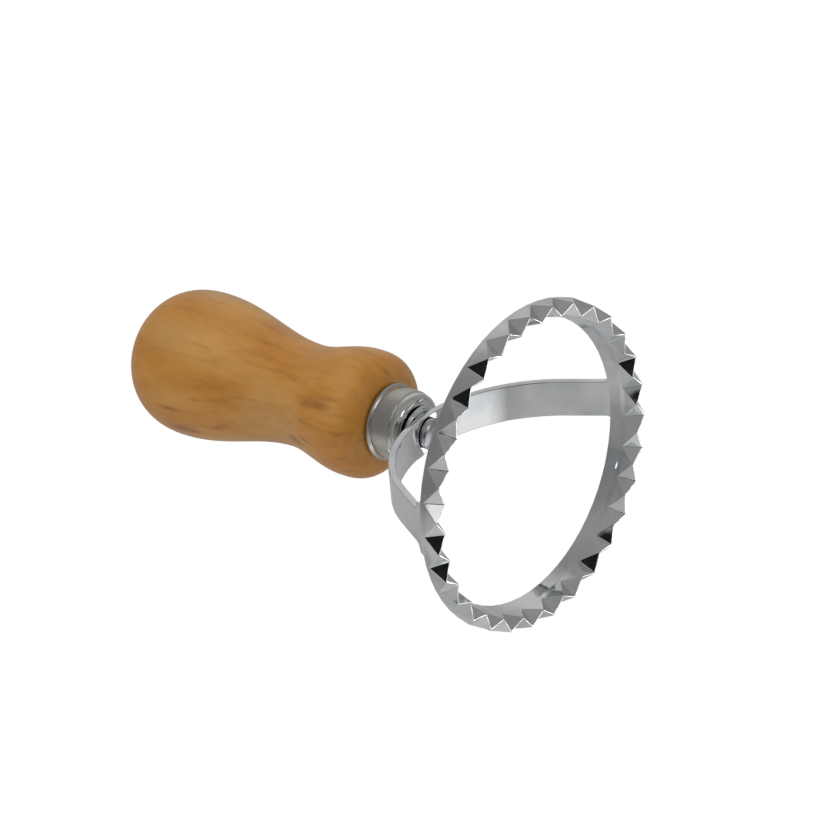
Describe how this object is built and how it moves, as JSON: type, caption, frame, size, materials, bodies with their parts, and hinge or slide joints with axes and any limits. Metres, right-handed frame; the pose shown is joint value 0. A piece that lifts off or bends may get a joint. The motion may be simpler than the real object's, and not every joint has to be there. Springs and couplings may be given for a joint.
{
  "type": "round pasta stamp",
  "caption": "Round hand stamp for pasta and pastry: a toothed ring on an arched bow, with a ferrule and a turned wooden handle held by one screw.",
  "frame": {"origin": "centre of the cutting circle, on the plane of the cutting edge, which is the centre of the bottom of the bounding box", "axes": "+Z along the handle, away from the cutting edge; the bow stands in the XZ plane"},
  "size_m": [0.07, 0.0696, 0.105],
  "materials": {
    "chrome_plate": "polished chrome plate over a zinc casting",
    "satin_chrome": "satin chrome plate over drawn steel",
    "lacquered_beech": "honey lacquer over turned beech",
    "zinc_steel": "zinc plated steel"
  },
  "bodies": {
    "root": {"cutter_head": "chrome_plate", "ferrule": "satin_chrome", "handle": "lacquered_beech", "fixing_screw": "zinc_steel"}
  },
  "joints": []
}
